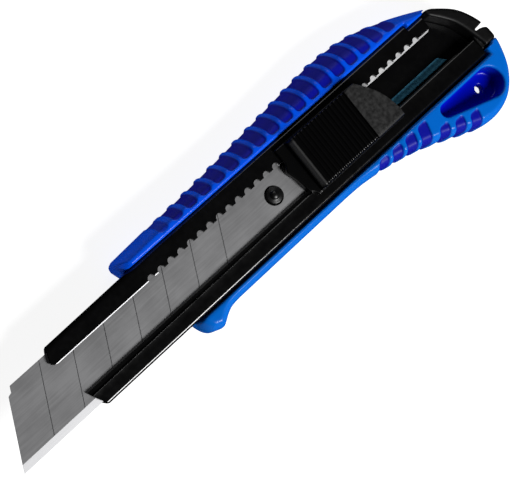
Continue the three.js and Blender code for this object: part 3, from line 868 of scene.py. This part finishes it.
def blade():
    """Faces between slanted score lines, each line a V groove that ends at the bevel."""
    levels = [0.0, BEVEL_WIDTH, BEVEL_WIDTH + 0.25, BLADE_WIDTH / 2, 16.2, 16.5, BLADE_WIDTH]
    nick = [0, 0, 0, 0, 0, 0.9, 0.9]
    columns = [(0.0, 0.0)]
    for i in range(1, SCORE_COUNT + 1):
        at = i * SCORE_PITCH
        columns += [(at - SCORE_HALF, 0.0), (at, SCORE_DEPTH), (at + SCORE_HALF, 0.0)]
    columns.append((None, 0.0))
    verts = []
    for index, (start, depth) in enumerate(columns):
        for side in (1, -1):
            for level, step in zip(levels, nick):
                x = BLADE_LENGTH
                if start is not None:
                    x = start + level * SNAP_RUN + (step if index == 0 else 0)
                half = blade_section(level)
                cut = depth if side > 0 and level > BEVEL_WIDTH else 0
                verts.append((x, level, -BLADE_THICK / 2 + side * half - cut))
    count = len(levels)
    faces = []
    for i in range(len(columns) - 1):
        a, b = i * 2 * count, (i + 1) * 2 * count
        for j in range(count - 1):
            faces.append((a + j, b + j, b + j + 1, a + j + 1))
            faces.append((a + count + j, a + count + j + 1, b + count + j + 1, b + count + j))
        faces.append((a, a + count, b + count, b))
        faces.append((a + count - 1, b + count - 1, b + 2 * count - 1, a + 2 * count - 1))
    last = (len(columns) - 1) * 2 * count
    for j in range(count - 1):
        faces.append((j, j + 1, count + j + 1, count + j))
        faces.append((last + j, last + count + j, last + count + j + 1, last + j + 1))
    piece = built("scored_blade", verts, faces, 3)
    cutter_verts, cutter_faces = lathe([(BLADE_HOLE, 2), (BLADE_HOLE, -2)], PIN)
    cutter = built("hole_cutter", cutter_verts, cutter_faces)
    cut = piece.modifiers.new("hole", "BOOLEAN")
    cut.object = cutter
    cut.operation = "DIFFERENCE"
    bpy.context.view_layer.update()
    evaluated = piece.evaluated_get(bpy.context.evaluated_depsgraph_get())
    finished = bpy.data.meshes.new_from_object(evaluated)
    piece.modifiers.clear()
    finished.polygons.foreach_set("use_smooth", np.zeros(len(finished.polygons), bool))
    piece.data = finished
    bpy.data.objects.remove(cutter)
    piece.data.materials.clear()
    piece.data.materials.append(blade_steel())
    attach(piece, "slide")
    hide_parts("blade")


def blade_pin():
    """Domed stud that the blade's hole drops over."""
    arc = np.radians(np.linspace(84, 25, 9))
    profile = [(1.35 * math.cos(a), 0.25 + 1.0 * math.sin(a)) for a in arc]
    profile += [(1.4, 0.58), (2.05, 0.55), (2.2, 0.48), (PIN_RADIUS, 0.3)]
    profile += [(PIN_RADIUS, -0.8), (1.3, -0.85), (1.3, -1.6), (1.1, -1.7)]
    verts, faces = lathe(profile, PIN)
    piece = built("blade_stud", verts, faces, 40)
    piece.data.materials.append(black_plastic("pin_black", DEEP_BLACK, 0.3, 0.4, 900, 0.00003, 0.35))
    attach(piece, "slide")
    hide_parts("blade_pin")


def floor_strip():
    """Thin leaf on the channel floor, with raised edges and a slanted end."""
    section = [(0.0, 0.1), (0.06, 0.3), (0.26, 0.34), (0.5, 0.26), (1.12, 0.25), (1.75, 0.26),
               (1.99, 0.34), (2.19, 0.3), (2.25, 0.1), (2.19, 0.0), (0.06, 0.0)]
    verts = []
    for x, slant in ((40.0, 0.0), (156.0, 0.0), (159.5, -0.98)):
        verts += [(x + slant * y, 4.75 + y, -2.35 + z) for y, z in section]
    count = len(section)
    faces = [tuple(range(count - 1, -1, -1)), tuple(range(2 * count, 3 * count))]
    for i in range(2):
        faces += ring_faces(i * count, (i + 1) * count, count)
    piece = built("channel_strip", verts, [f[::-1] for f in faces], 50)
    piece.data.materials.append(blued_steel())
    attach(piece, "grip")
    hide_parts("floor_strip")


# ---- blade carrier ----
def carrier_field(x, y, z):
    """Plate under the blade, with a core and two posts up to the thumb slider."""
    plan = [(88.5, 0), (132.3, 0), (132.5, 0.3), (132.5, 17.4), (126.4, 17.4), (126.0, 18.3),
            (88.5, 18.3), (87.0, 16.8), (87.0, 1.5)]
    plate = smooth_max(outline_field(plan, x, y), np.abs(z + 1.3) - 0.4, 0.3)
    core = box_field(x, y, z, (103, 4.4, -1.2), (132.5, 10.4, RAIL_TOP))
    front_post = box_field(x, y, z, (103, 10.0, -1.2), (105.2, 14.0, RAIL_TOP))
    rear_post = box_field(x, y, z, (130.8, 10.0, -1.2), (132.5, 14.0, RAIL_TOP))
    upright = np.minimum(core, np.minimum(front_post, rear_post))
    hole = np.hypot(x - PIN[0], y - PIN[1]) - 1.45
    return smooth_max(smooth_min(plate, upright, 0.3), -hole, 0.2)


def blade_carrier():
    low, high = (86.63, -0.34, -1.93), (132.8, 18.6, 1.4)
    piece = moulded("carrier_plate", carrier_field, low, high, (0.3, 0.3, 0.15))
    piece.data.materials.append(black_plastic("carrier_black", CARRIER_BLACK, 0.4, 0.5, 1200, 0.00003))
    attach(piece, "slide")
    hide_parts("blade_carrier")


# ---- thumb slider ----
SLIDER_REAR = [(135.7, 1.9), (134.6, 8), (132.6, 12.5), (128.9, 17.4)]


def along_slider(x, y):
    """Position along the button, following the slight lean of its ribs."""
    return x - SLIDER_LEAN * (y - SLIDER_MIDDLE)


def button_plan():
    rear = [(x + BUTTON_REAR_SHIFT, y) for x, y in spline(SLIDER_REAR)]
    return [(104.0, SLIDER_Y[0])] + rear + [(128.0, SLIDER_Y[1]), (104.6, SLIDER_Y[1])]


def flange_plan():
    rear = [(x + FLANGE_REAR_SHIFT, y) for x, y in spline(SLIDER_REAR)]
    lower = [(101.3, 4.4), (101.6, 3.6), (102.4, 2.8), (103.1, 1.5), (136.1, 1.5)]
    return lower + rear + [(101.3, 17.8), (101.3, 14.5)]


def nose_plan():
    front = [(101.8, 14.2), (101.1, 13.1), (100.1, 11.5), (100.4, 10.0), (100.9, 8.0), (101.3, 4.4)]
    return spline(front, 5) + [(102.5, 4.4), (102.5, 13.9)]


def button_height(x, y):
    """Top of the button: bevelled front, ribs on a dish, then the raised pad."""
    along = along_slider(x, y)
    dish = 4.55 + 0.55 * ((along - 115.5) / 10) ** 2
    phase = np.mod((along - RIB_START) / RIB_PITCH, 1)
    rib = step_between(0.0, 0.3, phase) * step_between(0.95, 0.65, phase)
    ribs = dish + RIB_HEIGHT * rib
    front = 3.6 + (along - 104.25) * 2.1
    pad = 5.9 - (along - PAD_START) * 0.06 - 0.012 * np.clip(along - 128, 0, None) ** 2
    pad = np.minimum(pad, 6)
    ribs_end = RIB_START + RIB_COUNT * RIB_PITCH
    height = np.where(along < RIB_START - 0.1, 5.5, np.where(along < ribs_end, ribs, dish))
    height = np.where(along < PAD_START, height, pad)
    return np.minimum(height, np.where(along < RIB_START, front, 9))


def slider_field(x, y, z):
    plan = outline_field(button_plan(), x, y)
    top = (z - button_height(x, y)) * 0.75
    button = smooth_max(plan, top, 0.35 + 0.75 * step_between(4, 3, y))
    button = np.maximum(button, np.where(z < BUTTON_FOOT, BUTTON_FOOT - z, -9))
    flange_height = np.abs(z - FLANGE_MIDDLE) - FLANGE_HALF
    flange = smooth_max(outline_field(flange_plan(), x, y), flange_height, 0.3)
    nose_height = np.maximum(z - FLANGE_TOP, NOSE_BOTTOM - z)
    nose = smooth_max(outline_field(nose_plan(), x, y), nose_height, 0.3)
    return smooth_min(np.minimum(flange, nose), button, 0.25)


def pad_mask(x, y, z):
    along = along_slider(x, y)
    return step_between(125.05, 125.2, along) * step_between(3.9, 4.2, z) * step_between(2.75, 2.95, y)


def painted_highlight_mask(x, y, z):
    """Painted highlights: a lighter stripe on the button's front bevel and a lighter line along the
    lower edge of its pad, where light would catch them.
    """
    along = along_slider(x, y)
    inside = step_between(2.2, 3.0, y) * step_between(17.2, 16.2, y)
    bevel = step_between(104.3, 104.8, along) * step_between(106.1, 105.5, along)
    bevel = bevel * step_between(3.4, 3.9, z)
    edge = step_between(2.15, 2.35, y) * step_between(2.85, 2.65, y)
    edge = edge * step_between(PAD_START, 125.5, along) * step_between(3.6, 4.0, z)
    return np.maximum(bevel * inside, edge)


def thumb_slider():
    masks = {"pad": pad_mask, "painted_highlight": painted_highlight_mask}
    low, high = (98.47, 0.77, -0.03), (137, 18.6, 6.4)
    piece = moulded("slider_button", slider_field, low, high, (0.15, 0.2, 0.13), masks)
    piece.data.materials.append(slider_plastic())
    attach(piece, "slide")
    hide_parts("thumb_slider")


# ---- stage ----
PHOTO_CAMERA = Vector((-33.95, 28.48, 338.09))
PHOTO_AIM = Vector((82.69, 3.69, 0.0))
PHOTO_UP_ANGLE = math.radians(46.68)
FOCAL_LENGTH = 97.86
SENSOR = 36.0


def place(point):
    return TIP + Vector(point) * MM


def camera():
    data = bpy.data.cameras.new("camera")
    data.sensor_width = SENSOR
    data.lens = FOCAL_LENGTH
    obj = linked("camera", data)
    forward = (PHOTO_AIM - PHOTO_CAMERA).normalized()
    hint = Vector((math.cos(PHOTO_UP_ANGLE), math.sin(PHOTO_UP_ANGLE), 0))
    right = forward.cross(hint).normalized()
    up = right.cross(forward)
    turn = Matrix((right, up, -forward)).transposed()
    obj.matrix_world = Matrix.Translation(place(PHOTO_CAMERA)) @ turn.to_4x4()
    bpy.context.scene.camera = obj


def area_light(name, centre, target, size, power):
    data = bpy.data.lights.new(name, "AREA")
    data.shape = "RECTANGLE"
    data.size, data.size_y = size
    data.energy = power
    obj = linked(name, data)
    obj.location = place(centre)
    obj.rotation_euler = (place(target) - place(centre)).to_track_quat("-Z", "Y").to_euler()
    return obj


def stage():
    scene = bpy.context.scene
    scene.view_settings.view_transform = "Standard"
    world = bpy.data.worlds.new("studio")
    scene.world = world
    world.use_nodes = True
    background = world.node_tree.nodes["Background"]
    background.inputs["Color"].default_value = (1, 1, 1, 1)
    background.inputs["Strength"].default_value = 0.9
    # The world is only a pale backdrop: it lights nothing.
    world.cycles_visibility.diffuse = False
    world.cycles_visibility.glossy = False
    middle = (90, 6, 0)
    area_light("key", (150, -390, 370), middle, (0.20, 0.20), 4.8)
    back = area_light("back", (90, 430, 190), middle, (0.6, 0.3), 0.4)
    back.visible_glossy = False
    area_light("side", (225, 150, 130), (140, 20, 0), (0.12, 0.12), 0.1)

    bpy.ops.mesh.primitive_plane_add(size=4, location=(0, 0, 0))
    floor = bpy.context.object
    floor.name = "floor"
    material, _, _, shader = new_material("floor_pale")
    shader.inputs["Base Color"].default_value = (0.3, 0.3, 0.3, 1)
    shader.inputs["Roughness"].default_value = 0.9
    shader.inputs["Specular IOR Level"].default_value = 0.1
    shader.inputs["Emission Color"].default_value = (1, 1, 1, 1)
    shader.inputs["Emission Strength"].default_value = 0.88
    floor.data.materials.append(material)
    floor.visible_glossy = False


def lock_spring():
    """The lock spring keeps its CAD shape, with broken edges."""
    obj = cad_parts["lock_spring"]
    obj.data.materials.clear()
    steel = metal("spring_steel", (0.45, 0.45, 0.46), (0.6, 0.6, 0.6), 0.28, (1, 1, 8))
    obj.data.materials.append(steel)
    edges = obj.modifiers.new("edges", "BEVEL")
    edges.width = 0.1 * MM
    edges.segments = 2
    edges.limit_method = "ANGLE"


camera()
stage()
grip()
end_cap()
guide_rail()
rack_backing()
floor_strip()
blade()
blade_pin()
thumb_slider()
blade_carrier()
lock_spring()
